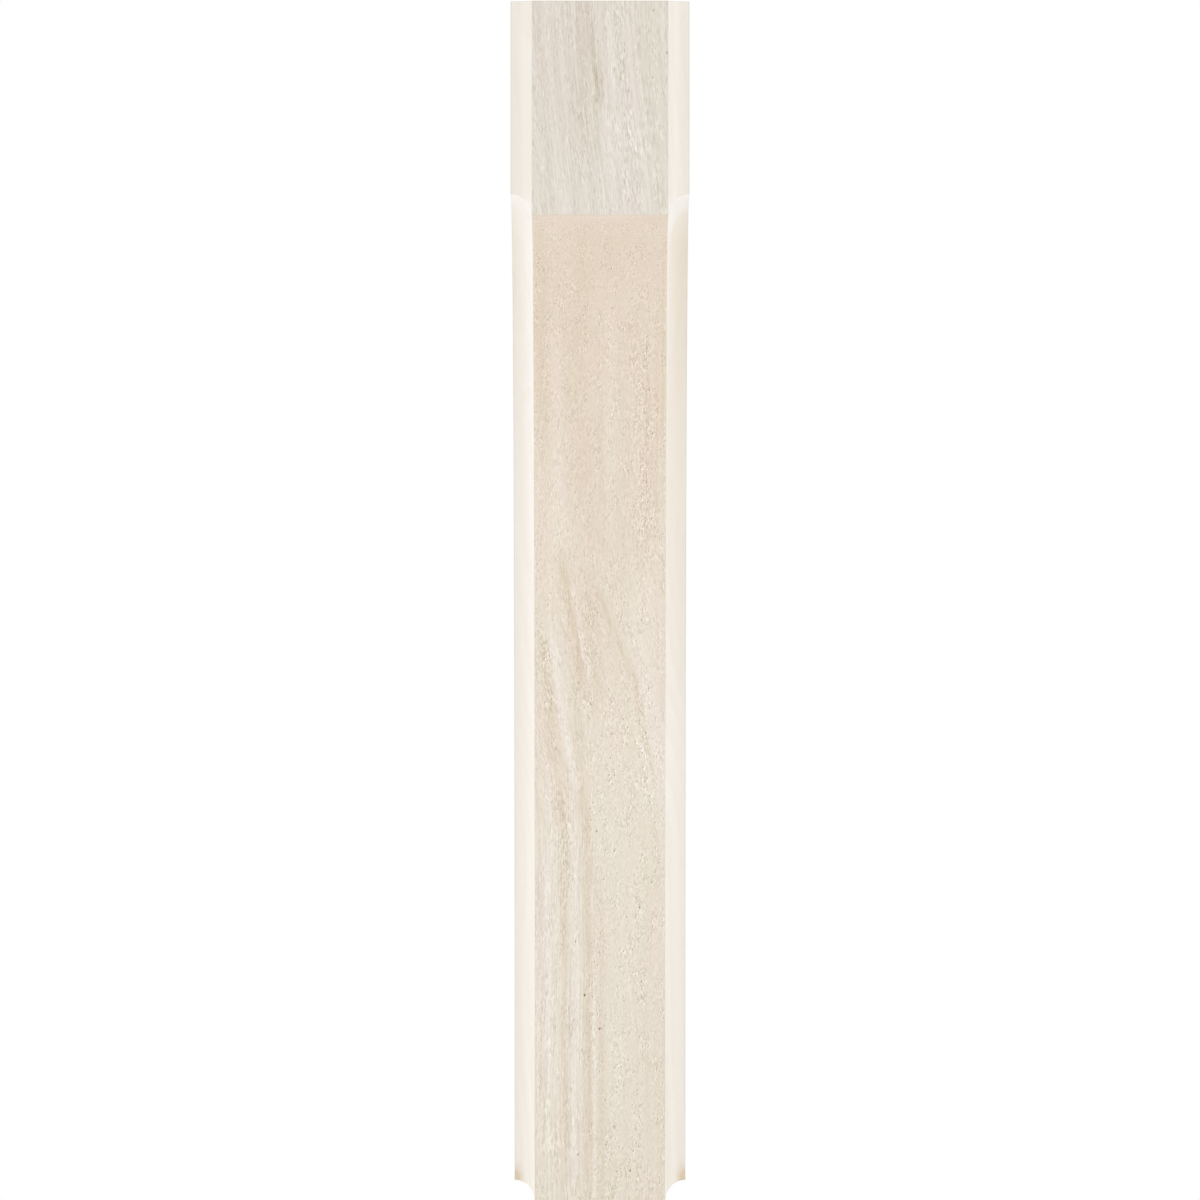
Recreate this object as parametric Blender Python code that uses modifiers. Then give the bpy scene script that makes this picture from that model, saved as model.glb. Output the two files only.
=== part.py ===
"""Wooden corbel bracket: one solid timber with a hollowed underside and coved front edges.

Units are metres and +Z is up. The origin is the centre of the wall face, the bracket reaches forward along -Y,
and it is symmetrical about the plane X = 0. Seen from the side, its front runs down the nose, back along a
short ledge, down a quarter-circle hollow, down the wall leg and back along the leg's foot to the wall.
"""

import math

import bmesh
import bpy

# Driving dimensions
WIDTH = 0.0889            # thickness of the timber, 3.5 in
HEIGHT = 0.6096           # top face to foot, 24 in
DEPTH = 0.6096            # wall face to nose, 24 in
NOSE_HEIGHT = 0.1064      # upright square-cut nose
LEDGE_LENGTH = 0.0381     # flat stretch under the nose, 1.5 in
HOLLOW_RADIUS = 0.4572    # quarter-circle underside, 18 in
COVE_RADIUS = 0.0104      # quarter-round hollow along the edges

# Fineness of the facets
HOLLOW_STEPS = 48         # straight steps in the quarter circle
COVE_STEPS = 6            # straight steps in a cove
SMOOTH_ANGLE = math.radians(30)
FLAT_ANGLE = math.radians(0.1)
WELD_DISTANCE = 1e-6

# Places worked out from the dimensions
TOP = HEIGHT / 2
FOOT = -HEIGHT / 2
NOSE_FRONT = -DEPTH
LEDGE_UNDER = TOP - NOSE_HEIGHT
HOLLOW_CENTRE_Y = NOSE_FRONT + LEDGE_LENGTH
HOLLOW_CENTRE_Z = LEDGE_UNDER - HOLLOW_RADIUS
LEG_FRONT = HOLLOW_CENTRE_Y + HOLLOW_RADIUS

# Pale unfinished hardwood
WOOD_COLOUR = (0.74, 0.66, 0.55, 1.0)
WOOD_ROUGHNESS = 0.6


def clear_scene():
    """Remove every object that the scene holds."""
    for obj in list(bpy.data.objects):
        bpy.data.objects.remove(obj, do_unlink=True)


def new_collection(name):
    """Make a collection and link it to the scene."""
    collection = bpy.data.collections.new(name)
    bpy.context.scene.collection.children.link(collection)
    return collection


def wood_material():
    """A plain pale wood for the solid."""
    material = bpy.data.materials.new("pale_hardwood")
    material.use_nodes = True
    shader = material.node_tree.nodes["Principled BSDF"]
    shader.inputs["Base Color"].default_value = WOOD_COLOUR
    shader.inputs["Roughness"].default_value = WOOD_ROUGHNESS
    shader.inputs["Metallic"].default_value = 0.0
    return material


def hollow_points():
    """The quarter circle as (y, z) points. It leaves the ledge level and meets the leg upright."""
    points = []
    for step in range(HOLLOW_STEPS + 1):
        turn = math.pi / 2 * step / HOLLOW_STEPS
        y = HOLLOW_CENTRE_Y + HOLLOW_RADIUS * math.sin(turn)
        z = HOLLOW_CENTRE_Z + HOLLOW_RADIUS * math.cos(turn)
        points.append((y, z))
    return points


def side_outline():
    """The closed outline that the side shows, as (y, z) points from the top of the wall face."""
    nose = [(0.0, TOP), (NOSE_FRONT, TOP), (NOSE_FRONT, LEDGE_UNDER)]
    foot = [(LEG_FRONT, FOOT), (0.0, FOOT)]
    return nose + hollow_points() + foot


def make_blank():
    """The timber cut to its side outline, as a flat curve as thick as the timber."""
    curve = bpy.data.curves.new("bracket", "CURVE")
    curve.dimensions = "2D"
    curve.fill_mode = "BOTH"
    curve.extrude = WIDTH / 2
    outline = side_outline()
    spline = curve.splines.new("POLY")
    spline.points.add(len(outline) - 1)
    for point, (y, z) in zip(spline.points, outline):
        point.co = (y, z, 0.0, 1.0)
    spline.use_cyclic_u = True
    blank = bpy.data.objects.new("bracket", curve)
    # Stood up, so that the curve's first direction is Y and its second is Z
    blank.rotation_euler = (math.radians(90), 0.0, math.radians(90))
    bpy.context.scene.collection.objects.link(blank)
    bpy.context.view_layer.update()
    return blank


def evaluated_mesh(obj):
    """A new mesh of the object as its modifiers leave it."""
    depsgraph = bpy.context.evaluated_depsgraph_get()
    return bpy.data.meshes.new_from_object(obj.evaluated_get(depsgraph))


def to_closed_mesh(blank, collection):
    """Turn the blank into a mesh object in world space, its caps welded on and each side one flat face."""
    mesh = evaluated_mesh(blank)
    mesh.transform(blank.matrix_world)
    bpy.data.objects.remove(blank, do_unlink=True)
    shell = bmesh.new()
    shell.from_mesh(mesh)
    bmesh.ops.remove_doubles(shell, verts=shell.verts, dist=WELD_DISTANCE)
    bmesh.ops.dissolve_limit(shell, angle_limit=FLAT_ANGLE, verts=shell.verts, edges=shell.edges)
    bmesh.ops.recalc_face_normals(shell, faces=shell.faces)
    shell.to_mesh(mesh)
    shell.free()
    obj = bpy.data.objects.new("bracket", mesh)
    collection.objects.link(obj)
    return obj


def is_coved(edge):
    """True for a side edge of the nose, the underside, the leg or the foot, and not of the top or the wall."""
    sideways = sorted(abs(face.normal.x) for face in edge.link_faces)
    bounds_a_side = sideways[0] < 0.5 < sideways[1]
    along_top = all(abs(vert.co.z - TOP) < WELD_DISTANCE for vert in edge.verts)
    along_wall = all(abs(vert.co.y) < WELD_DISTANCE for vert in edge.verts)
    return bounds_a_side and not along_top and not along_wall


def mark_coved_edges(bracket):
    """Give each coved edge a bevel weight of one."""
    shell = bmesh.new()
    shell.from_mesh(bracket.data)
    weight = shell.edges.layers.float.new("bevel_weight_edge")
    for edge in shell.edges:
        edge[weight] = 1.0 if is_coved(edge) else 0.0
    shell.to_mesh(bracket.data)
    shell.free()


def cut_coves(bracket):
    """Bevel the marked edges with a hollow quarter-round, centred on the edge that it takes away."""
    cove = bracket.modifiers.new("coves", "BEVEL")
    cove.limit_method = "WEIGHT"
    cove.width = COVE_RADIUS
    cove.segments = COVE_STEPS
    cove.use_clamp_overlap = False
    cove.profile_type = "CUSTOM"
    profile = cove.custom_profile
    for step in range(1, COVE_STEPS):
        turn = math.pi / 2 * step / COVE_STEPS
        profile.points.add(1.0 - math.sin(turn), 1.0 - math.cos(turn))
    for point in profile.points:
        point.handle_type_1 = "VECTOR"
        point.handle_type_2 = "VECTOR"
    profile.update()


def finish_mesh(bracket):
    """Keep the coves in the mesh, shade its round stretches smooth and give it its wood."""
    bare = bracket.data
    finished = evaluated_mesh(bracket)
    bracket.modifiers.clear()
    bracket.data = finished
    bpy.data.meshes.remove(bare)
    finished.name = "bracket"
    finished.shade_smooth()
    finished.set_sharp_from_angle(angle=SMOOTH_ANGLE)
    finished.materials.clear()
    finished.materials.append(wood_material())


def main():
    clear_scene()
    parts = new_collection("wooden_bracket")
    bracket = to_closed_mesh(make_blank(), parts)
    mark_coved_edges(bracket)
    cut_coves(bracket)
    finish_mesh(bracket)


main()
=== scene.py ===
# %% [markdown]
# # A wooden corbel bracket
# The object is one thick timber, sawn to shape: a flat top, an upright square nose, a short ledge under
# the nose, a quarter-circle hollow, and a leg that is fixed to the wall. A quarter-round hollow, called a
# cove, is cut along both side edges of its front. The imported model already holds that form. This lesson
# makes the finer surface that stands for it and gives it its bare, pale wood.

# %% Load the fixed frame
import math

import bmesh
import bpy
import numpy as np
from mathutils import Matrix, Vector


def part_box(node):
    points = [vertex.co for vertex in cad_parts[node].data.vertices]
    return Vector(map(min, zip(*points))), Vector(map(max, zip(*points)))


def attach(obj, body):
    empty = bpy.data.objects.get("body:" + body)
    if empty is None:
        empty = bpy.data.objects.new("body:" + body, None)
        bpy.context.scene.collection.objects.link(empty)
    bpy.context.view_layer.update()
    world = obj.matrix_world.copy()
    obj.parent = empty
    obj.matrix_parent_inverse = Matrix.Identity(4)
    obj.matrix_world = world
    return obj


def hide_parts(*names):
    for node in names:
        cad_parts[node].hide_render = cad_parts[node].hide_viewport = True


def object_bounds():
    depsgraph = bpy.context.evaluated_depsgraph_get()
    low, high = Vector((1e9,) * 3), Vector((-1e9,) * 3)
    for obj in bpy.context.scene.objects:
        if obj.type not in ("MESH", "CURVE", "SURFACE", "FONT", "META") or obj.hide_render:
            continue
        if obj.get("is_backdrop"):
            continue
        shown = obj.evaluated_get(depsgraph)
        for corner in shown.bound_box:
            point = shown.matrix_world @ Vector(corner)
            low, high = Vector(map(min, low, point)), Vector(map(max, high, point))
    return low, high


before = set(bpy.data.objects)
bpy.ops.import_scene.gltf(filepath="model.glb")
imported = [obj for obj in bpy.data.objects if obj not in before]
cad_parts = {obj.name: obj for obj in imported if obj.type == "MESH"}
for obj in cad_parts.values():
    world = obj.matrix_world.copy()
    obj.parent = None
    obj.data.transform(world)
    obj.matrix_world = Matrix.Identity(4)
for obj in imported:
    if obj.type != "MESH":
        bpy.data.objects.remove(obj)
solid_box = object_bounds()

NODE = "bracket"

# %% [markdown]
# ## Sizes
# The outer sizes are read from the solid. Four more sizes tell where its outline turns, and they repeat
# the design's own values, because a box can't say them. Everything is in metres. The wall face lies on
# Y = 0, the bracket reaches towards -Y, and it is the same on both sides of X = 0.

# %% Sizes of the timber
low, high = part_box(NODE)
WIDTH = high.x - low.x
TOP = high.z
FOOT = low.z
WALL = high.y
NOSE_FRONT = low.y
NOSE_HEIGHT = 0.1064
LEDGE_LENGTH = 0.0381
HOLLOW_RADIUS = 0.4572
COVE_RADIUS = 0.0104

LEDGE_UNDER = TOP - NOSE_HEIGHT
HOLLOW_CENTRE_Y = NOSE_FRONT + LEDGE_LENGTH
HOLLOW_CENTRE_Z = LEDGE_UNDER - HOLLOW_RADIUS
LEG_FRONT = HOLLOW_CENTRE_Y + HOLLOW_RADIUS
print(f"timber {WIDTH * 1000:.1f} mm thick, leg {-LEG_FRONT * 1000:.1f} mm deep")

# %% [markdown]
# ## The path down the front
# The shape could be cut out of a block, as a sawyer would do it. Here it is worked out instead: one cross
# section is carried down the front, round the hollow and under the foot. The path is a list of points in
# the side view, each with the direction that leads straight into the wood. At a square corner that
# direction is the sum of the two on either side, which is the mitre line, so the section keeps its size on
# both sides.

# %% The path and its inward directions
NOSE_ROWS = 20
LEDGE_ROWS = 8
HOLLOW_ROWS = 160
LEG_ROWS = 10
FOOT_ROWS = 20
BACKWARD = np.array([1.0, 0.0])
UPWARD = np.array([0.0, 1.0])


def straight_run(start, end, rows, inward_start, inward_end):
    """Points at equal steps from start towards end, the end left out. Place and inward direction are both
    first times (1 - share) plus second times share, where share is how much of the way lies behind."""
    share = np.linspace(0.0, 1.0, rows, endpoint=False)[:, None]
    points = np.array(start) * (1 - share) + np.array(end) * share
    return points, inward_start * (1 - share) + inward_end * share


def hollow_run(rows):
    """A quarter circle: centre plus radius times (sine, cosine) of an angle from 0 to 90 degrees. The same
    (sine, cosine) pair points into the wood."""
    angle = np.linspace(0.0, math.pi / 2, rows, endpoint=False)
    into_wood = np.stack([np.sin(angle), np.cos(angle)], axis=1)
    return np.array([HOLLOW_CENTRE_Y, HOLLOW_CENTRE_Z]) + HOLLOW_RADIUS * into_wood, into_wood


nose_corner = (NOSE_FRONT, LEDGE_UNDER)
hollow_start = (HOLLOW_CENTRE_Y, LEDGE_UNDER)
hollow_end = (LEG_FRONT, HOLLOW_CENTRE_Z)
foot_corner = (LEG_FRONT, FOOT)
MITRE = BACKWARD + UPWARD
runs = [
    straight_run((NOSE_FRONT, TOP), nose_corner, NOSE_ROWS, BACKWARD, MITRE),
    straight_run(nose_corner, hollow_start, LEDGE_ROWS, MITRE, UPWARD),
    hollow_run(HOLLOW_ROWS),
    straight_run(hollow_end, foot_corner, LEG_ROWS, BACKWARD, MITRE),
    straight_run(foot_corner, (WALL, FOOT), FOOT_ROWS, MITRE, UPWARD),
    (np.array([[WALL, FOOT]]), UPWARD[None, :]),
]
path = np.concatenate([points for points, _ in runs])
inward = np.concatenate([directions for _, directions in runs])
print("rows down the front:", len(path))

# %% [markdown]
# ## The section across the timber
# Across the timber the section has three stretches: the left cove, the flat middle and the right cove. A
# cove is a quarter circle about the edge that the cutter took away, so it is hollow and meets both faces
# squarely.

# %% The section
COVE_STEPS = 20
FACE_STEPS = 34

cove_angle = np.linspace(math.pi / 2, 0.0, COVE_STEPS + 1)
left_x = -WIDTH / 2 + COVE_RADIUS * np.cos(cove_angle)
left_depth = COVE_RADIUS * np.sin(cove_angle)
face_x = np.linspace(left_x[-1], -left_x[-1], FACE_STEPS + 1)[1:-1]
section_x = np.concatenate([left_x, face_x, -left_x[::-1]])
section_depth = np.concatenate([left_depth, np.zeros_like(face_x), left_depth[::-1]])
print("points across the section:", len(section_x))

# %% [markdown]
# ## Four kinds of surface
# The front is the section carried down the path. Each flat side is ruled: straight lines join the inner
# edge of the cove to the top edge and the wall edge. The top and the wall face are rows of straight lines
# across. All of them use the same points along their shared edges, so they close without gaps when they
# are welded.

# %% The front, the sides, the top and the wall face
SIDE_STEPS = 6

depth_into_wood = inward[:, None, :] * section_depth[None, :, None]
front_yz = path[:, None, :] + depth_into_wood
front_x = np.broadcast_to(section_x[None, :, None], front_yz.shape[:2] + (1,))
front = np.concatenate([front_x, front_yz], axis=2)

rows = len(path)
# The middle of the hollow is joined to the back corner
CORNER_ROW = NOSE_ROWS + LEDGE_ROWS + HOLLOW_ROWS // 2


def back_edge():
    """The top edge from the nose to the wall, then the wall edge down to the foot, with a point for each
    row of the front. It starts and ends on the front's own side edge."""
    along_top = np.linspace(front[0, 0, 1], WALL, CORNER_ROW + 1)
    down_wall = np.linspace(TOP, front[-1, 0, 2], rows - CORNER_ROW)[1:]
    top_part = np.stack([along_top, np.full_like(along_top, TOP)], axis=1)
    wall_part = np.stack([np.full_like(down_wall, WALL), down_wall], axis=1)
    return np.concatenate([top_part, wall_part])


def side_surface(column):
    """A ruled surface: (1 - t) times the front's side edge plus t times the back edge, t from 0 to 1."""
    share = np.linspace(0.0, 1.0, SIDE_STEPS + 1)[None, :, None]
    near = front[:, column, None, 1:]
    ruled = near * (1 - share) + back[:, None, :] * share
    x = np.full(ruled.shape[:2] + (1,), section_x[column])
    return np.concatenate([x, ruled], axis=2)


def flat_surface(edge_rows, curved_row, curved_last):
    """Straight lines across the timber at each row of the back edge, with one end row replaced by the
    curved section of the front, so that it meets the coves."""
    surface = np.empty((len(edge_rows), len(section_x), 3))
    surface[:, :, 0] = section_x[None, :]
    surface[:, :, 1:] = edge_rows[:, None, :]
    surface[-1 if curved_last else 0] = curved_row
    return surface


back = back_edge()
left_side = side_surface(0)
right_side = side_surface(-1)
top_face = flat_surface(back[:CORNER_ROW + 1], front[0], curved_last=False)
wall_face = flat_surface(back[CORNER_ROW:], front[-1], curved_last=True)
surfaces = [front, left_side, right_side, top_face, wall_face]
print("points on each surface:", [surface.shape[:2] for surface in surfaces])

# %% [markdown]
# ## One welded mesh
# The surfaces go into one mesh as grids of four-sided faces. The faces of the coves take the second
# material slot, because a router leaves the wood there smoother and paler than the saw and the sander
# leave the rest. Points that fall together are merged, and the faces are turned to look outwards.

# %% Weld the surfaces
WELD_DISTANCE = 2e-6
FACE_SLOT = 0
COVE_SLOT = 1


def grid_faces(shape, first):
    """The faces of a grid: a point, the next one across, the one below that and the one below the first."""
    index = first + np.arange(shape[0] * shape[1]).reshape(shape[:2])
    corners = [index[:-1, :-1], index[:-1, 1:], index[1:, 1:], index[1:, :-1]]
    return np.stack(corners, axis=-1).reshape(-1, 4)


firsts = np.cumsum([0] + [surface.shape[0] * surface.shape[1] for surface in surfaces])
points = np.concatenate([surface.reshape(-1, 3) for surface in surfaces])
faces = np.concatenate([grid_faces(surface.shape, first) for surface, first in zip(surfaces, firsts)])

finish_across = np.full(len(section_x) - 1, FACE_SLOT, dtype=np.int32)
finish_across[:COVE_STEPS] = COVE_SLOT
finish_across[-COVE_STEPS:] = COVE_SLOT
finish = np.full(len(faces), FACE_SLOT, dtype=np.int32)
finish[:(rows - 1) * len(finish_across)] = np.tile(finish_across, rows - 1)

timber_mesh = bpy.data.meshes.new("timber")
timber_mesh.from_pydata(points.tolist(), [], faces.tolist())
timber_mesh.attributes.new("material_index", "INT", "FACE")
timber_mesh.attributes["material_index"].data.foreach_set("value", finish)

shell = bmesh.new()
shell.from_mesh(timber_mesh)
bmesh.ops.remove_doubles(shell, verts=shell.verts, dist=WELD_DISTANCE)
bmesh.ops.recalc_face_normals(shell, faces=shell.faces)
open_edges = sum(1 for edge in shell.edges if not edge.is_manifold)
shell.to_mesh(timber_mesh)
shell.free()
timber_mesh.shade_smooth()
timber = bpy.data.objects.new("timber", timber_mesh)
bpy.context.scene.collection.objects.link(timber)
print("welded points", len(timber_mesh.vertices), "open edges", open_edges)

# %% [markdown]
# ## Eased arrises
# No cut timber has knife-sharp edges: sandpaper takes off half a millimetre. A Bevel modifier rounds every
# edge that turns by more than thirty degrees, and its hardened normals keep the broad faces flat. Its new
# points don't slide along the neighbouring edges, because where a cove meets the top or the wall face
# these edges are almost in line, and a point would slide right out of the wood.

# %% Ease the edges
EASING = 0.0004
SHARP_ANGLE = math.radians(30)

easing = timber.modifiers.new("eased_arrises", "BEVEL")
easing.width = EASING
easing.segments = 2
easing.limit_method = "ANGLE"
easing.angle_limit = SHARP_ANGLE
easing.harden_normals = True
easing.use_clamp_overlap = True
easing.loop_slide = False

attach(timber, "root")
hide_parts(NODE)

# %% [markdown]
# ## Helpers for the materials
# A material is a network of nodes. These small functions add a node, link or set its inputs, and hand back
# its output, so that the recipes below read as lists of steps.

# %% Node helpers
NUMBER = "NodeSocketFloat"
VECTOR = "NodeSocketVector"
COLOUR = "NodeSocketColor"
WHITE = (1.0, 1.0, 1.0, 1.0)


def add_node(tree, kind, **settings):
    """A new node of the given kind with its settings made."""
    node = tree.nodes.new(kind)
    for name, value in settings.items():
        setattr(node, name, value)
    return node


def feed(tree, value, socket):
    """Link an output to an input, or set the input to a plain value."""
    if isinstance(value, bpy.types.NodeSocket):
        tree.links.new(value, socket)
    else:
        socket.default_value = value


def new_group(name, inputs, outputs):
    """A node group with named sockets, and its input and output sockets as seen from inside."""
    group = bpy.data.node_groups.new(name, "ShaderNodeTree")
    for socket_name, socket_type in inputs.items():
        group.interface.new_socket(socket_name, in_out="INPUT", socket_type=socket_type)
    for socket_name, socket_type in outputs.items():
        group.interface.new_socket(socket_name, in_out="OUTPUT", socket_type=socket_type)
    return group, group.nodes.new("NodeGroupInput").outputs, group.nodes.new("NodeGroupOutput").inputs


def use_group(tree, group, values):
    """Place a group, feed its inputs by name, and give its outputs."""
    node = add_node(tree, "ShaderNodeGroup", node_tree=group)
    for name, value in values.items():
        feed(tree, value, node.inputs[name])
    return node.outputs


# %% Helpers for numbers
def calculate(tree, operation, *values):
    """A Math node."""
    node = add_node(tree, "ShaderNodeMath", operation=operation)
    for value, socket in zip(values, node.inputs):
        feed(tree, value, socket)
    return node.outputs["Value"]


def add(tree, first, second):
    """The sum of two values."""
    return calculate(tree, "ADD", first, second)


def multiply(tree, first, *others):
    """The product of two or more values."""
    for other in others:
        first = calculate(tree, "MULTIPLY", first, other)
    return first


def multiply_add(tree, value, factor, amount):
    """The value times the factor, plus the amount."""
    return calculate(tree, "MULTIPLY_ADD", value, factor, amount)


def one_less(tree, value):
    """One minus the value."""
    return calculate(tree, "SUBTRACT", 1.0, value)


def fade(tree, value, low, high, start=0.0, end=1.0):
    """A Map Range node: start where the value is low, end where it is high, eased between, held outside."""
    node = add_node(tree, "ShaderNodeMapRange", interpolation_type="SMOOTHSTEP")
    feed(tree, value, node.inputs["Value"])
    for name, number in {"From Min": low, "From Max": high, "To Min": start, "To Max": end}.items():
        feed(tree, number, node.inputs[name])
    return node.outputs["Result"]


# %% Helpers for places
def combine(tree, x, y, z):
    """A vector from three numbers."""
    node = add_node(tree, "ShaderNodeCombineXYZ")
    for value, socket in zip((x, y, z), node.inputs):
        feed(tree, value, socket)
    return node.outputs["Vector"]


def separate(tree, vector):
    """The three numbers of a vector."""
    node = add_node(tree, "ShaderNodeSeparateXYZ")
    feed(tree, vector, node.inputs["Vector"])
    return node.outputs


def change_vector(tree, operation, first, second):
    """A Vector Math node that gives a vector."""
    node = add_node(tree, "ShaderNodeVectorMath", operation=operation)
    feed(tree, first, node.inputs[0])
    feed(tree, second, node.inputs[1])
    return node.outputs["Vector"]


def distance(tree, vector, target):
    """How far a place is from a target."""
    node = add_node(tree, "ShaderNodeVectorMath", operation="DISTANCE")
    feed(tree, vector, node.inputs[0])
    feed(tree, target, node.inputs[1])
    return node.outputs["Value"]


def noise(tree, vector, cell, detail=2.0, low=0.3, high=0.7, distortion=0.0):
    """A Noise Texture whose cells have the given size in metres. Its values are spread out, so that they
    run from 0 to 1."""
    node = add_node(tree, "ShaderNodeTexNoise", noise_dimensions="3D")
    feed(tree, change_vector(tree, "DIVIDE", vector, cell), node.inputs["Vector"])
    node.inputs["Scale"].default_value = 1.0
    node.inputs["Detail"].default_value = detail
    node.inputs["Distortion"].default_value = distortion
    return fade(tree, node.outputs["Fac"], low, high)


# %% Helpers for colours
def mix_colours(tree, share, first, second, blend_type="MIX", clamp_factor=True):
    """A Mix node for colours: the first where the share is 0, the second where it is 1. Without the clamp,
    a share below 0 goes past the first colour, away from the second."""
    settings = {"data_type": "RGBA", "blend_type": blend_type, "clamp_factor": clamp_factor}
    node = add_node(tree, "ShaderNodeMix", **settings)
    feed(tree, share, node.inputs[0])
    feed(tree, first, node.inputs[6])
    feed(tree, second, node.inputs[7])
    return node.outputs[2]


def tinted(tree, colour, tint):
    """The colour times the tint."""
    return mix_colours(tree, 1.0, colour, tint, "MULTIPLY")


def marked(tree, colour, mark, full_mark):
    """The colour times a tint that goes from white to the full mark as the mark goes from 0 to 1. A mark
    below 0 makes the wood paler in the same way."""
    return tinted(tree, colour, mix_colours(tree, mark, WHITE, full_mark, clamp_factor=False))


# %% [markdown]
# ## The run of the fibres
# The fibres run down the timber, but no tree is straight. They lean to the right as they go down the nose
# and the middle of the hollow, they slope a little towards the front, and they wander. A group works out a
# place as the fibres see it: x and y are taken back to where that fibre would be if it were straight, and
# z stays. The fine patterns below read that place, so they all bend together.

# %% Group: the run of the fibres
# The lower and the upper height of a lean, and how far it moves the fibres sideways, all in metres
NOSE_LEAN = (0.17, 0.33, 0.012)
HOLLOW_LEAN = (-0.12, 0.05, 0.022)
FORWARD_SLOPE = 0.06
WANDER = 0.004
WANDER_CELL = (0.05, 0.10, 0.16)


def make_fibre_run():
    """Straight x is x plus the wander plus both leans, and each lean grows from 0 at its lower height.
    Straight y is y plus the wander, less the slope times the height."""
    group, given, result = new_group("fibre_run", {"Place": VECTOR}, {"Fibre place": VECTOR})
    x, y, z = separate(group, given["Place"])
    wander = noise(group, given["Place"], WANDER_CELL, detail=1.0)
    wander = multiply_add(group, wander, WANDER, -WANDER / 2)
    straight_x = add(group, x, wander)
    for lower, upper, shift in (NOSE_LEAN, HOLLOW_LEAN):
        straight_x = add(group, straight_x, fade(group, z, lower, upper, 0.0, shift))
    straight_y = multiply_add(group, z, -FORWARD_SLOPE, add(group, y, wander))
    feed(group, combine(group, straight_x, straight_y, z), result["Fibre place"])
    return group


fibre_run = make_fibre_run()
print(fibre_run.name, len(fibre_run.nodes), "nodes")

# %% [markdown]
# ## Pores
# Cut vessels show as fine dark dashes where the surface follows the fibres, and as dots where it crosses
# them. Both come from one pattern of long thin grains in space: a Voronoi Texture stretched along the
# fibres, whose cells are dark near their own centre. Each cell draws a number, and only some of them hold
# a pore, so the pores differ in strength.

# %% Group: pores
def make_pores():
    """1 where the stretched distance to the cell's centre is under half of Size, and 0 from Size on, times
    a chance that goes from 0 to 1 as the cell's random number goes from 1 less Share to 1."""
    sockets = {"Place": VECTOR, "Size": NUMBER, "Share": NUMBER}
    group, given, result = new_group("pores", sockets, {"Mask": NUMBER})
    cells = add_node(group, "ShaderNodeTexVoronoi", voronoi_dimensions="3D", feature="F1")
    feed(group, given["Place"], cells.inputs["Vector"])
    cells.inputs["Scale"].default_value = 1.0
    half_size = multiply(group, given["Size"], 0.5)
    core = fade(group, cells.outputs["Distance"], half_size, given["Size"], 1.0, 0.0)
    random_colour = add_node(group, "ShaderNodeSeparateColor")
    feed(group, cells.outputs["Color"], random_colour.inputs[0])
    chance = add_node(group, "ShaderNodeMapRange")
    feed(group, random_colour.outputs[0], chance.inputs["Value"])
    feed(group, one_less(group, given["Share"]), chance.inputs["From Min"])
    feed(group, multiply(group, core, chance.outputs["Result"]), result["Mask"])
    return group


pores = make_pores()
print(pores.name, len(pores.nodes), "nodes")

# %% [markdown]
# ## Streaks
# A few darker and paler streaks give this piece its face. Each is a thin upright sheet in the wood, which
# shows as a soft line from the front and not at all from the side. A group draws one of them: it needs the
# line's upper and lower end, in metres, and half its width.

# %% Group: one streak
STREAK_SIZES = ("Head x", "Head z", "Foot x", "Foot z", "Half width")
# The shares of the line's height over which a streak fades out at its head and at its foot
HEAD_FADE = (0.8, 1.05)
FOOT_FADE = (-0.05, 0.25)


def make_streak():
    """The line's x at this height is its foot x plus its lean times the share of the height. The mask is
    exp(-(distance / half width) squared), eased out near both ends."""
    sockets = {"Place": VECTOR, **{name: NUMBER for name in STREAK_SIZES}}
    group, given, result = new_group("streak", sockets, {"Mask": NUMBER})
    x, _, z = separate(group, given["Place"])
    height = calculate(group, "SUBTRACT", z, given["Foot z"])
    full_height = calculate(group, "SUBTRACT", given["Head z"], given["Foot z"])
    share = calculate(group, "DIVIDE", height, full_height)
    lean = calculate(group, "SUBTRACT", given["Head x"], given["Foot x"])
    line_x = multiply_add(group, lean, share, given["Foot x"])
    away = calculate(group, "DIVIDE", calculate(group, "SUBTRACT", x, line_x), given["Half width"])
    ridge = calculate(group, "EXPONENT", multiply(group, away, away, -1.0))
    ends = multiply(group, fade(group, share, *HEAD_FADE, 1.0, 0.0), fade(group, share, *FOOT_FADE))
    feed(group, multiply(group, ridge, ends), result["Mask"])
    return group


streak = make_streak()
print(streak.name, len(streak.nodes), "nodes")

# %% [markdown]
# ## The figure of the wood
# Slow bands, growth rings, streaks, fine fibres and pores all mark the wood, and one group adds up their
# marks. Most marks are above 0 and darken it; pale streaks and the pale rims of the pores are below 0. The
# group puts out the soft part (bands, rings and streaks), the sharp part (fibres and pores), how far the
# surface cuts across the fibres, which is 1 on end grain, the finest fibres by themselves, and a tint. Two
# materials use it, because the flat faces and the routed coves are one wood with two finishes.

# %% Group: the figure, with its places
END_GRAIN_POWER = 1.3

figure_outputs = {"Soft": NUMBER, "Sharp": NUMBER, "End grain": NUMBER, "Fibre": NUMBER, "Tint": COLOUR}
figure, _, result = new_group("figure", {}, figure_outputs)
place = add_node(figure, "ShaderNodeTexCoord").outputs["Object"]
place_x, place_y, place_z = separate(figure, place)
fibre_place = use_group(figure, fibre_run, {"Place": place})["Fibre place"]
facing = separate(figure, add_node(figure, "ShaderNodeNewGeometry").outputs["Normal"])
sideways = calculate(figure, "ABSOLUTE", facing[0])
upright = calculate(figure, "ABSOLUTE", facing[2])
feed(figure, calculate(figure, "POWER", upright, END_GRAIN_POWER), result["End grain"])


def add_mark(total, pattern, strength):
    """The total so far plus a pattern times its strength."""
    return multiply_add(figure, pattern, strength, total)


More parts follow.
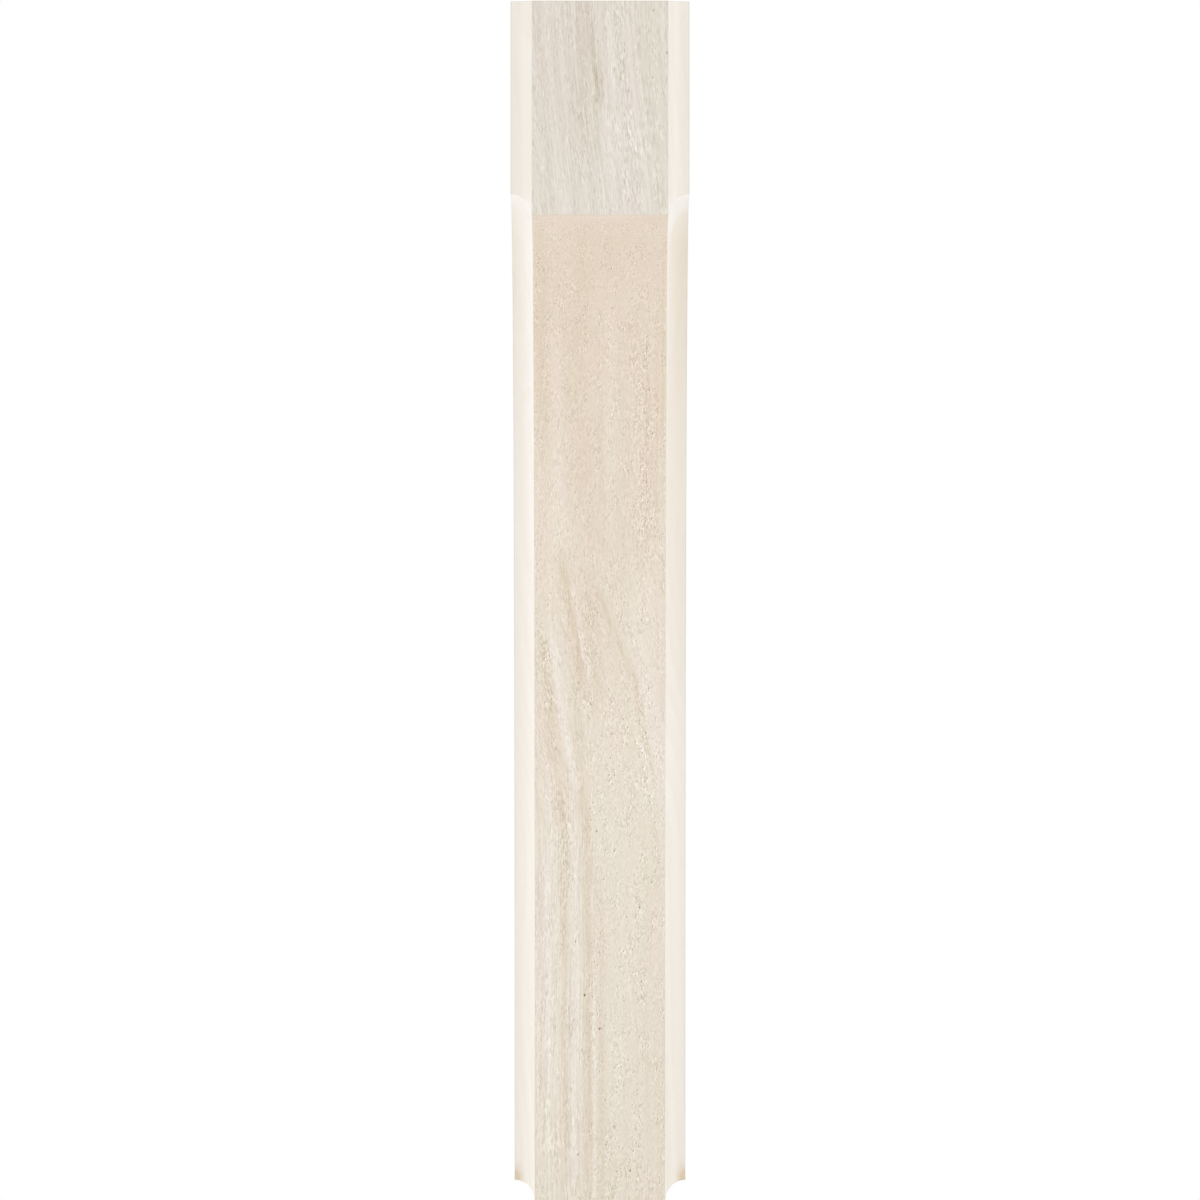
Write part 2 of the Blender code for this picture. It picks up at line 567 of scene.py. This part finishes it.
def strength_with(pattern, usual, more):
    """The usual strength where the pattern is 0, and the given amount more where it is 1."""
    return multiply_add(figure, pattern, more, usual)


# %% [markdown]
# The rings are cylinders round a pith that lies far to the right, so they cross the front as faint upright
# lines and open into arches on the sides, where they show most.

# %% Figure: bands and rings
BAND_CELL = (0.015, 0.09, 0.35)
BAND_STRENGTH = 0.07
PITH = (0.80, -0.28, 0.0)
RING_WIDTH = 0.006
SWELL_CELL = (0.10, 0.10, 0.30)
SWELL_RINGS = 2.5
# A ring darkens from the first of these shares of its width to the second, and is pale again at its end
RING_DARKENS_FROM = 0.1
RING_DARKEST = 0.85
RING_STRENGTH = 0.04
RING_MORE_ON_SIDES = 0.07
RING_MORE_FACING_UP = 0.035

band = noise(figure, fibre_place, BAND_CELL)
across_x, across_y, _ = separate(figure, fibre_place)
from_pith = distance(figure, combine(figure, across_x, across_y, 0.0), PITH)
swell = noise(figure, fibre_place, SWELL_CELL, detail=1.0)
ring_count = calculate(figure, "DIVIDE", from_pith, RING_WIDTH)
ring_count = add(figure, ring_count, multiply(figure, swell, SWELL_RINGS))
ring_age = calculate(figure, "FRACT", ring_count)
darkening = fade(figure, ring_age, RING_DARKENS_FROM, RING_DARKEST)
late_wood = multiply(figure, darkening, fade(figure, ring_age, RING_DARKEST, 1.0, 1.0, 0.0))
ring_strength = strength_with(sideways, RING_STRENGTH, RING_MORE_ON_SIDES)
ring_strength = strength_with(facing[2], ring_strength, RING_MORE_FACING_UP)
soft = add_mark(multiply(figure, band, BAND_STRENGTH), late_wood, ring_strength)

# %% Figure: the lines that give this piece its face
# Head x, head z, foot x, foot z and half width, in metres, and the mark, which is below 0 on a pale streak
STREAKS = [
    (-0.0080, 0.310, -0.0002, 0.252, 0.0025, 0.23),
    (-0.0005, 0.275, -0.0016, 0.220, 0.0026, 0.10),
    (-0.0125, 0.310, -0.0050, 0.215, 0.0050, 0.11),
    (0.0030, 0.310, 0.0090, 0.215, 0.0022, -0.08),
    (0.0110, 0.310, 0.0200, 0.195, 0.0030, -0.04),
    (-0.0205, 0.036, -0.0080, -0.045, 0.0024, 0.19),
    (-0.0130, -0.020, -0.0085, -0.120, 0.0027, 0.10),
    (-0.0065, 0.025, -0.0005, -0.055, 0.0036, 0.10),
    (-0.0030, 0.016, 0.0205, -0.041, 0.0018, 0.15),
    (0.0165, -0.028, 0.0292, -0.092, 0.0016, 0.17),
    (-0.0290, -0.008, -0.0235, -0.075, 0.0028, 0.08),
    (-0.0275, -0.050, -0.0190, -0.115, 0.0028, 0.08),
    (-0.0275, 0.005, -0.0128, -0.095, 0.0021, -0.17),
    (-0.0165, 0.026, -0.0035, -0.044, 0.0013, -0.12),
    (0.0190, 0.030, 0.0310, -0.110, 0.0072, -0.12),
    (-0.0300, 0.200, -0.0285, 0.070, 0.0028, 0.08),
    (-0.0225, 0.150, -0.0215, 0.020, 0.0042, -0.11),
    (-0.0090, 0.200, -0.0100, 0.050, 0.0050, 0.07),
    (0.0052, 0.165, 0.0062, 0.020, 0.0026, -0.08),
    (0.0000, 0.140, 0.0010, 0.030, 0.0014, 0.05),
    (0.0243, 0.160, 0.0240, 0.020, 0.0009, 0.10),
    (0.0292, 0.170, 0.0290, 0.030, 0.0008, 0.10),
    (0.0320, 0.195, 0.0320, 0.050, 0.0008, 0.10),
    (0.0000, 0.250, 0.0000, 0.185, 0.0300, -0.04),
    (-0.0190, -0.070, -0.0185, -0.320, 0.0024, 0.11),
    (-0.0065, -0.070, -0.0060, -0.320, 0.0026, 0.15),
    (-0.0265, -0.070, -0.0265, -0.320, 0.0024, -0.09),
    (-0.0127, -0.070, -0.0127, -0.320, 0.0021, -0.11),
    (-0.0032, -0.180, -0.0028, -0.320, 0.0009, -0.14),
    (0.0008, -0.130, 0.0010, -0.320, 0.0012, 0.09),
]
# Where the plane has torn the fibres: the same five sizes
TORN_LINES = [
    (0.0055, 0.320, 0.0190, 0.205, 0.0024),
    (-0.0075, 0.015, -0.0045, -0.060, 0.0036),
    (0.0210, 0.160, 0.0230, 0.010, 0.0055),
    (0.0200, -0.030, 0.0240, -0.100, 0.0030),
    (-0.0290, -0.010, -0.0265, -0.058, 0.0034),
    (-0.0175, -0.095, -0.0165, -0.155, 0.0030),
]
# Pin knots: x, z and the mark
PIN_KNOTS = [
    (0.0265, 0.3000, 0.50),
    (0.0260, 0.2668, 0.55),
    (0.0332, 0.2790, 0.60),
    (-0.0080, -0.1980, 1.25),
    (-0.0002, -0.2155, 1.15),
    (-0.0116, -0.2810, 0.75),
    (-0.0018, -0.1125, 0.75),
]
KNOT_CORE = 0.0002
KNOT_EDGE = 0.0007
KNOT_WIDTH_TO_HEIGHT = 0.7


def draw_streak(sizes):
    """The mask of one streak, from its five sizes."""
    return use_group(figure, streak, {"Place": place, **dict(zip(STREAK_SIZES, sizes))})["Mask"]


streaks = 0.0
for *sizes, strength in STREAKS:
    streaks = add_mark(streaks, draw_streak(sizes), strength)
torn_lines = 0.0
for sizes in TORN_LINES:
    torn_lines = add(figure, torn_lines, draw_streak(sizes))
pin_knots = 0.0
flat_place = combine(figure, place_x, 0.0, multiply(figure, place_z, KNOT_WIDTH_TO_HEIGHT))
for knot_x, knot_z, strength in PIN_KNOTS:
    away = distance(figure, flat_place, (knot_x, 0.0, KNOT_WIDTH_TO_HEIGHT * knot_z))
    pin_knot = fade(figure, away, KNOT_CORE, KNOT_EDGE, strength, 0.0)
    pin_knots = calculate(figure, "MAXIMUM", pin_knots, pin_knot)
print(len(STREAKS), "streaks", len(TORN_LINES), "torn lines", len(PIN_KNOTS), "pin knots")

# %% [markdown]
# The fine patterns are livelier where the fibres are torn, along the torn lines and in small clusters. They
# are calmer on the greyed nose and on the flat sides, where they are also drawn out into long lines.

# %% Figure: how lively the fibres are
# On the flat sides x, y and z are multiplied by these, and the fourth number only completes the colour
DRAWN_OUT_ON_SIDES = (0.02, 7.0, 0.25, 1.0)
CLUSTER_CELL = (0.0045, 0.03, 0.014)
CLUSTER_SHARE = 0.8
TORN_LINE_SHARE = 0.55
USUAL_LIVELINESS = 0.35
MORE_WHERE_TORN = 1.25
MORE_ON_NOSE = -0.22
MORE_ON_SIDES = -0.25
NOSE_SKIN = (NOSE_FRONT + 0.0005, NOSE_FRONT + 0.004)

drawn_out = mix_colours(figure, sideways, WHITE, DRAWN_OUT_ON_SIDES)
grain_place = change_vector(figure, "MULTIPLY", fibre_place, drawn_out)

cluster = noise(figure, fibre_place, CLUSTER_CELL, low=0.32, high=0.72)
torn = add_mark(multiply(figure, cluster, CLUSTER_SHARE), torn_lines, TORN_LINE_SHARE)
on_nose = fade(figure, place_y, *NOSE_SKIN, 1.0, 0.0)
liveliness = strength_with(torn, USUAL_LIVELINESS, MORE_WHERE_TORN)
liveliness = multiply(figure, liveliness, strength_with(on_nose, 1.0, MORE_ON_NOSE))
liveliness = multiply(figure, liveliness, strength_with(sideways, 1.0, MORE_ON_SIDES))

# %% [markdown]
# The front is lined where it follows the fibres. It is dotted where it cuts them short: on end grain, and
# on the right of the leg and of the lower hollow, where the fibres dip into the wood. The flat sides are
# only lined.

# %% Figure: lined or dotted
DOTTED_FROM_X = (-0.014, 0.004)
DOTTED_BELOW_Z = (-0.08, 0.05)
DOTTED_END_GRAIN = 0.8

dotted = fade(figure, place_x, *DOTTED_FROM_X)
dotted = multiply(figure, dotted, fade(figure, place_z, *DOTTED_BELOW_Z, 1.0, 0.0))
dotted = calculate(figure, "MAXIMUM", dotted, multiply(figure, upright, DOTTED_END_GRAIN))
dotted = multiply(figure, dotted, one_less(figure, sideways))
lined = one_less(figure, dotted)

# %% [markdown]
# Each fine pattern swings about zero, so it makes as many places paler as darker, and the total starts
# from a usual mark. The long lines also break up the streaks.

# %% Figure: fibres
USUAL_MARK = 0.25
DASH_CELL = (0.00048, 0.0050, 0.0040)
DOT_CELL = (0.00062, 0.0045, 0.0019)
LONG_LINE_CELL = (0.0010, 0.0080, 0.0600)
LEG_BELOW_Z = (-0.12, -0.05)
# Each strength: the usual value, and how much more there is on the leg, or where it is dotted
DASH_STRENGTH = (0.32, -0.05)
DOT_STRENGTH = (0.17, 0.12)
LINE_STRENGTH = (0.15, 0.05)
# The strength of a streak between the long lines, and how much more it has on them
BROKEN_STREAK = (0.8, 0.4)


def about_zero(pattern):
    """A pattern from 0 to 1 moved to run from -0.5 to 0.5."""
    return calculate(figure, "SUBTRACT", pattern, 0.5)


dash = noise(figure, grain_place, DASH_CELL, detail=0.0, distortion=0.3)
dot = noise(figure, grain_place, DOT_CELL, detail=0.0, distortion=0.8)
long_line = noise(figure, grain_place, LONG_LINE_CELL, detail=1.0)
soft = add_mark(soft, streaks, strength_with(long_line, *BROKEN_STREAK))
feed(figure, soft, result["Soft"])

on_leg = fade(figure, place_z, *LEG_BELOW_Z, 1.0, 0.0)
dash_strength = multiply(figure, lined, strength_with(on_leg, *DASH_STRENGTH))
dash_strength = multiply(figure, liveliness, dash_strength)
dot_strength = multiply(figure, liveliness, strength_with(dotted, *DOT_STRENGTH))
line_strength = multiply(figure, lined, strength_with(on_leg, *LINE_STRENGTH))
sharp = add_mark(USUAL_MARK, about_zero(dash), dash_strength)
sharp = add_mark(sharp, about_zero(dot), dot_strength)
sharp = add_mark(sharp, about_zero(long_line), line_strength)
feed(figure, dash, result["Fibre"])

# %% [markdown]
# Three sizes of pores lie over the fibres, with a few lone specks. A bold pore has a pale rim on its lower
# left, where the light catches its edge: the same cells again, a little larger, shifted and paler.

# %% Figure: pores
# The cell in metres, the pore's size as a share of the cell, and the share of the cells that hold one
FINE_PORE = ((0.0012, 0.0060, 0.0045), 0.34, 0.5)
SMALL_PORE = ((0.0010, 0.0050, 0.0018), 0.36, 0.7)
BOLD_PORE = ((0.0015, 0.0060, 0.0026), 0.28, 0.6)
PALE_RIM = ((0.0015, 0.0060, 0.0026), 0.36, 0.6)
SPECK = ((0.0100, 0.0100, 0.0160), 0.07, 0.25)
# Each strength: the usual value, and how much more there is where the wood is torn, or where it is dotted
FINE_STRENGTH = (0.12, 0.36)
SMALL_STRENGTH = (0.10, 0.36)
BOLD_STRENGTH = (0.28, 0.50)
RIM_SHIFT = (0.0005, 0.0, -0.0004)
RIM_TO_PORE = -0.47
SPECK_MARK = 0.9


def pores_at(vector, cell, size, share):
    """The mask of one kind of pore."""
    values = {"Place": change_vector(figure, "DIVIDE", vector, cell), "Size": size, "Share": share}
    return use_group(figure, pores, values)["Mask"]


fine_strength = multiply(figure, lined, strength_with(torn, *FINE_STRENGTH))
sharp = add_mark(sharp, pores_at(grain_place, *FINE_PORE), fine_strength)
small_strength = multiply(figure, liveliness, strength_with(dotted, *SMALL_STRENGTH))
sharp = add_mark(sharp, pores_at(grain_place, *SMALL_PORE), small_strength)
bold_strength = multiply(figure, liveliness, strength_with(dotted, *BOLD_STRENGTH))
sharp = add_mark(sharp, pores_at(grain_place, *BOLD_PORE), bold_strength)
beside = change_vector(figure, "SUBTRACT", grain_place, RIM_SHIFT)
sharp = add_mark(sharp, pores_at(beside, *PALE_RIM), multiply(figure, bold_strength, RIM_TO_PORE))
specks = multiply(figure, pores_at(fibre_place, *SPECK), SPECK_MARK)
sharp = add(figure, sharp, calculate(figure, "MAXIMUM", specks, pin_knots))
feed(figure, sharp, result["Sharp"])

# %% [markdown]
# The colour isn't quite even either: it wanders between a rosy and an olive tint, in patches drawn out
# along the fibres.

# %% Figure: the tint
ROSY = (1.007, 0.992, 1.002, 1.0)
OLIVE = (0.993, 1.007, 0.994, 1.0)
TINT_CELL = (0.0065, 0.06, 0.07)

tint_share = noise(figure, fibre_place, TINT_CELL, detail=1.5)
feed(figure, mix_colours(figure, tint_share, ROSY, OLIVE), result["Tint"])
print(figure.name, len(figure.nodes), "nodes")

# %% [markdown]
# ## Bare wood on the faces
# The wood is dry, pale and unfinished. Its colour starts from the palest that it has, which is warmer on
# end grain, and it loses most of its blue, less of its green and least of its red as the mark grows. The
# nose has stood out in the light, so its front has greyed and its marks are less brown. Painted shade makes
# the foot a little darker. Saw-cut end grain is rougher than the side grain, and the darker fibres and the
# pores lie a little lower.

# %% Material: faces
PALEST_FACE = (0.801, 0.754, 0.678, 1.0)
PALEST_END = (0.820, 0.710, 0.595, 1.0)
GREYED = (0.918, 0.912, 0.920, 1.0)
FULL_SOFT = (0.60, 0.41, 0.14, 1.0)
FULL_SOFT_GREYED = (0.50, 0.38, 0.20, 1.0)
FULL_SHARP = (0.50, 0.450, 0.39, 1.0)
PAINTED_FOOT_SHADE = 0.08
FOOT_SHADE_BELOW_Z = (-0.31, -0.05)


def start_wood(name):
    """A new material on the timber: its tree, its shader, the outputs of the figure, and the three numbers
    of the place."""
    material = bpy.data.materials.new(name)
    material.use_nodes = True
    timber_mesh.materials.append(material)
    own_tree = material.node_tree
    own_place = separate(own_tree, add_node(own_tree, "ShaderNodeTexCoord").outputs["Object"])
    return own_tree, own_tree.nodes["Principled BSDF"], use_group(own_tree, figure, {}), own_place


tree, shader, wood, (own_x, own_y, own_z) = start_wood("bare_hardwood_face")
palest = mix_colours(tree, wood["End grain"], PALEST_FACE, PALEST_END)
palest = tinted(tree, palest, wood["Tint"])
on_nose = fade(tree, own_y, *NOSE_SKIN, 1.0, 0.0)
full_soft = mix_colours(tree, on_nose, FULL_SOFT, FULL_SOFT_GREYED)
# Painted shade: the faces are a little darker towards the foot.
painted_foot_shade = fade(tree, own_z, *FOOT_SHADE_BELOW_Z, PAINTED_FOOT_SHADE, 0.0)
colour = marked(tree, palest, add(tree, wood["Soft"], painted_foot_shade), full_soft)
colour = marked(tree, colour, wood["Sharp"], FULL_SHARP)
colour = mix_colours(tree, on_nose, colour, tinted(tree, colour, GREYED))
feed(tree, colour, shader.inputs["Base Color"])

# %% Material: the touch of the faces
SMOOTHEST = 0.60
ROUGHER_FIBRES = 0.3
ROUGHER_END_GRAIN = 0.15
RELIEF_DEPTH = 0.0004
RELIEF_STRENGTH = 0.3

roughness = multiply_add(tree, wood["Sharp"], ROUGHER_FIBRES, SMOOTHEST)
roughness = multiply_add(tree, wood["End grain"], ROUGHER_END_GRAIN, roughness)
feed(tree, roughness, shader.inputs["Roughness"])
relief = add_node(tree, "ShaderNodeBump", invert=True)
relief.inputs["Strength"].default_value = RELIEF_STRENGTH
relief.inputs["Distance"].default_value = RELIEF_DEPTH
feed(tree, wood["Sharp"], relief.inputs["Height"])
feed(tree, relief.outputs["Normal"], shader.inputs["Normal"])
print("face wood:", len(tree.nodes), "nodes")

# %% [markdown]
# ## Routed wood in the coves
# A fast cutter leaves the coves paler, closed and smooth, with a faint silky sheen when they are seen at a
# low angle. The figure shows only softly in them. Painted shade darkens them a little towards the foot,
# and painted light makes their outer rims paler high in the hollow.

# %% Material: coves
PALEST_COVE = (0.785, 0.742, 0.685, 1.0)
PALEST_COVE_END = (0.720, 0.655, 0.555, 1.0)
FULL_END_POWER = 2.8
SOFT_IN_COVES = 0.6
SHARP_IN_COVES = 0.12
COVE_SHADE_BELOW_Z = (-0.31, 0.0)
PAINTED_COVE_SHADE = (0.035, -0.005)
OUTER_STRIP = (WIDTH / 2 - 0.0050, WIDTH / 2 - 0.0020)
STRIP_FROM_Z = (0.02, 0.07)
STRIP_TO_Z = (0.15, 0.19)
RIM_LIGHT_MARK = -0.05

tree, shader, wood, (own_x, own_y, own_z) = start_wood("routed_hardwood_cove")
full_end_grain = calculate(tree, "POWER", wood["End grain"], FULL_END_POWER)
palest = mix_colours(tree, full_end_grain, PALEST_COVE, PALEST_COVE_END)
# Painted shade: the coves darken a little towards the foot.
soft = multiply_add(tree, wood["Soft"], SOFT_IN_COVES, fade(tree, own_z, *COVE_SHADE_BELOW_Z, *PAINTED_COVE_SHADE))
from_middle = calculate(tree, "ABSOLUTE", own_x)
# Painted light: the outer rims of the coves are paler high in the hollow.
painted_rim_light = fade(tree, from_middle, *OUTER_STRIP, 0.0, RIM_LIGHT_MARK)
painted_rim_light = multiply(tree, painted_rim_light, fade(tree, own_z, *STRIP_FROM_Z), fade(tree, own_z, *STRIP_TO_Z, 1.0, 0.0))
colour = marked(tree, palest, add(tree, soft, painted_rim_light), FULL_SOFT)
colour = marked(tree, colour, multiply(tree, wood["Sharp"], SHARP_IN_COVES), FULL_SHARP)

# %% [markdown]
# The right cove is darker and warmer behind the nose: a little in the upper half of the hollow, more right
# under the nose. Only a pale arc below the mitre is left out. Its lower edge is part of an ellipse round a
# point on the outer arris.

# %% Coves: darker and warmer under the nose, greyed on it
# The darker, warmer tone of the right cove, and the pale arc left out of it
DARK_WARM_TINT = (0.955, 0.910, 0.848, 1.0)
LOWER_TINT = 0.8
LOWER_TINT_AT_ARRIS = 0.5
LOWER_TINT_FROM_Z = (-0.08, 0.08)
RIGHT_OF_X = (-0.01, 0.01)
HIGH_TINT = 0.75
HIGH_AT_ARRIS = 0.6
HIGH_FROM_Z = (0.12, 0.19)
HIGH_FROM_X = (0.0335, 0.0370)
HIGH_WEAKER_FROM_X = (0.0400, 0.0435)
ARC_CENTRE_X = 0.0445
ARC_CENTRE_Z = 0.187
ARC_WIDTH_TO_HEIGHT = 0.61
ARC_EDGE = (0.0085, 0.0105)
ARC_FROM_Z = (0.182, 0.190)
GREYED_COVE = (0.937, 0.932, 0.924, 1.0)
GREYED_TO_Y = (NOSE_FRONT + COVE_RADIUS - 0.001, NOSE_FRONT + COVE_RADIUS + 0.004)
GREYED_TO_END_GRAIN = (0.0, 0.3)

on_nose = fade(tree, own_y, *GREYED_TO_Y, 1.0, 0.0)
on_nose = multiply(tree, on_nose, fade(tree, wood["End grain"], *GREYED_TO_END_GRAIN, 1.0, 0.0))

on_right = fade(tree, own_x, WIDTH / 2 - COVE_RADIUS, WIDTH / 2, 1.0, LOWER_TINT_AT_ARRIS)
on_right = multiply(tree, on_right, fade(tree, own_x, *RIGHT_OF_X))
lower_tint = multiply(tree, fade(tree, own_z, *LOWER_TINT_FROM_Z, 0.0, LOWER_TINT), on_right)
high_tint = fade(tree, own_z, *HIGH_FROM_Z, 0.0, HIGH_TINT)
high_tint = multiply(tree, high_tint, fade(tree, own_x, *HIGH_FROM_X))
high_tint = multiply(tree, high_tint, fade(tree, own_x, *HIGH_WEAKER_FROM_X, 1.0, HIGH_AT_ARRIS))
right_cove_tint = multiply(tree, add(tree, lower_tint, high_tint), one_less(tree, on_nose))

above_centre = multiply(tree, calculate(tree, "SUBTRACT", own_z, ARC_CENTRE_Z), ARC_WIDTH_TO_HEIGHT)
from_centre = distance(tree, combine(tree, own_x, above_centre, 0.0), (ARC_CENTRE_X, 0.0, 0.0))
spared = multiply(tree, fade(tree, from_centre, *ARC_EDGE), fade(tree, own_z, *ARC_FROM_Z))
colour = marked(tree, colour, multiply(tree, right_cove_tint, one_less(tree, spared)), DARK_WARM_TINT)
colour = mix_colours(tree, on_nose, colour, tinted(tree, colour, GREYED_COVE))

# %% [markdown]
# Where the coves run out at the foot, the cutter has dwelt and browned their outer ends, with a ragged
# edge. A thin grey line of painted shade runs along the sharp outer arrises.

# %% Coves: browned ends and painted shade along the outer arrises
BROWNED = (0.82, 0.72, 0.57, 1.0)
BROWNED_WIDTH_TO_HEIGHT = 0.7
BROWNED_REACH = (-0.001, 0.0065)
RAGGED_CELL = (0.004, 0.004, 0.006)
RAGGED_DEPTH = 0.003
EDGE_SHADOW_LINE = (0.82, 0.84, 0.86, 1.0)
EDGE_SHADOW_ACROSS = (WIDTH / 2 - 0.0006, WIDTH / 2 - 0.0002)

either_side = combine(tree, from_middle, own_y, multiply(tree, own_z, BROWNED_WIDTH_TO_HEIGHT))
run_out = (WIDTH / 2, LEG_FRONT + COVE_RADIUS, BROWNED_WIDTH_TO_HEIGHT * (FOOT + COVE_RADIUS))
from_run_out = distance(tree, either_side, run_out)
ragged = multiply_add(tree, noise(tree, either_side, RAGGED_CELL), -RAGGED_DEPTH, from_run_out)
browned = fade(tree, ragged, *BROWNED_REACH, 1.0, 0.0)
colour = mix_colours(tree, browned, colour, tinted(tree, colour, BROWNED))
# Painted shade: a thin grey line along the sharp outer arrises.
colour = marked(tree, colour, fade(tree, from_middle, *EDGE_SHADOW_ACROSS), EDGE_SHADOW_LINE)
feed(tree, colour, shader.inputs["Base Color"])

# %% Coves: the silky finish
SMOOTHEST_COVE = 0.40
ROUGHER_COVE_FIBRES = 0.08
SHEEN = 0.8
SHEEN_ROUGHNESS = 0.35

roughness = multiply_add(tree, wood["Fibre"], ROUGHER_COVE_FIBRES, SMOOTHEST_COVE)
feed(tree, roughness, shader.inputs["Roughness"])
shader.inputs["Sheen Weight"].default_value = SHEEN
shader.inputs["Sheen Roughness"].default_value = SHEEN_ROUGHNESS
print("cove wood:", len(tree.nodes), "nodes")

# %% [markdown]
# ## Studio
# The light is plain and soft: a white room all round, a broad lamp in front, one on either side that lifts
# the coves, and a small low one on the left. The floor is a pale sheet a little below the foot, and it
# throws light up into the hollow. It ends not far behind the bracket, so that it stays out of the level
# view. Seen from below it is clear, so that the underside of the bracket can be looked at.

# %% Floor
PAPER = (0.96, 0.96, 0.96, 1.0)
PAPER_ROUGHNESS = 0.9
FLOOR_DROP = 0.045
FLOOR_BEHIND = 1.2
FLOOR_FRONT = 8.0
FLOOR_HALF_WIDTH = 5.0

floor_mesh = bpy.data.meshes.new("floor")
floor_z = FOOT - FLOOR_DROP
floor_corners = [
    (-FLOOR_HALF_WIDTH, -FLOOR_FRONT, floor_z),
    (FLOOR_HALF_WIDTH, -FLOOR_FRONT, floor_z),
    (FLOOR_HALF_WIDTH, FLOOR_BEHIND, floor_z),
    (-FLOOR_HALF_WIDTH, FLOOR_BEHIND, floor_z),
]
floor_mesh.from_pydata(floor_corners, [], [(0, 1, 2, 3)])
floor = bpy.data.objects.new("floor", floor_mesh)
bpy.context.scene.collection.objects.link(floor)
floor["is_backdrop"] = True

paper = bpy.data.materials.new("pale_paper")
paper.use_nodes = True
paper_tree = paper.node_tree
paper_shader = paper_tree.nodes["Principled BSDF"]
paper_shader.inputs["Base Color"].default_value = PAPER
paper_shader.inputs["Roughness"].default_value = PAPER_ROUGHNESS
seen_from_below = add_node(paper_tree, "ShaderNodeNewGeometry").outputs["Backfacing"]
feed(paper_tree, one_less(paper_tree, seen_from_below), paper_shader.inputs["Alpha"])
floor_mesh.materials.append(paper)
print(f"floor at {floor_z * 1000:.1f} mm")

# %% Room
room = bpy.data.worlds.new("white_room")
room.use_nodes = True
bpy.context.scene.world = room
background = room.node_tree.nodes["Background"]
background.inputs["Color"].default_value = WHITE
background.inputs["Strength"].default_value = 1.0

# %% Lamps
MIDDLE = Vector((0.0, NOSE_FRONT / 2, 0.0))
COOL = (0.92, 0.97, 1.0)
NEUTRAL = (1.0, 1.0, 1.0)
# Name, place and size in metres, watts and colour
SOFTBOXES = [
    ("left_softbox", (-2.2, -0.9, 0.2), 1.6, 10.0, COOL),
    ("left_low_softbox", (-1.3, 0.2, -0.2), 0.8, 2.2, COOL),
    ("right_softbox", (2.2, -0.9, 0.2), 1.6, 11.0, COOL),
    ("front_softbox", (0.0, -3.0, 0.9), 1.6, 7.0, NEUTRAL),
]


def softbox(name, place, size, watts, colour):
    """A square area lamp that looks at the middle of the bracket and isn't seen itself."""
    lamp = bpy.data.lights.new(name, "AREA")
    lamp.size = size
    lamp.energy = watts
    lamp.color = colour
    holder = bpy.data.objects.new(name, lamp)
    holder.location = place
    holder.rotation_euler = (MIDDLE - holder.location).to_track_quat("-Z", "Y").to_euler()
    holder.visible_camera = False
    bpy.context.scene.collection.objects.link(holder)


for name, place, size, watts, colour in SOFTBOXES:
    softbox(name, place, size, watts, colour)
print("lamps:", [lamp.name for lamp in bpy.data.lights])

# %% [markdown]
# ## Camera
# The bracket is seen straight from the front through a very long lens, so that the leg is only a twentieth
# smaller than the nose, half a metre nearer. The sensor and the distance give the lens: focal length
# divided by sensor width is distance divided by the width that the frame shows there.

# %% Camera
CAMERA_TO_NOSE = 10.24
FRAME_AT_NOSE = 0.5953
FRAME_TOP_ABOVE_NOSE = 0.0003
SENSOR = 36.0

lens = bpy.data.cameras.new("long_lens")
lens.sensor_width = SENSOR
lens.lens = SENSOR * CAMERA_TO_NOSE / FRAME_AT_NOSE
lens.clip_end = 100.0
camera = bpy.data.objects.new("camera", lens)
camera.location = (0.0, NOSE_FRONT - CAMERA_TO_NOSE, TOP + FRAME_TOP_ABOVE_NOSE - FRAME_AT_NOSE / 2)
camera.rotation_euler = (math.radians(90), 0.0, 0.0)
bpy.context.scene.collection.objects.link(camera)
bpy.context.scene.camera = camera
bpy.context.scene.view_settings.view_transform = "Standard"

# %% [markdown]
# ## Check the size
# The finer surface must fill the same box as the solid it stands for.

# %% Print the two boxes
dressed_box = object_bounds()
sizes = {"cad": [list(corner) for corner in solid_box], "visual": [list(corner) for corner in dressed_box]}
print(sizes)
low_excess = max(solid - dressed for solid, dressed in zip(solid_box[0], dressed_box[0]))
high_excess = max(dressed - solid for solid, dressed in zip(solid_box[1], dressed_box[1]))
print(f"the finer surface stands out of the solid's box by {max(low_excess, high_excess) * 1000:.3f} mm")
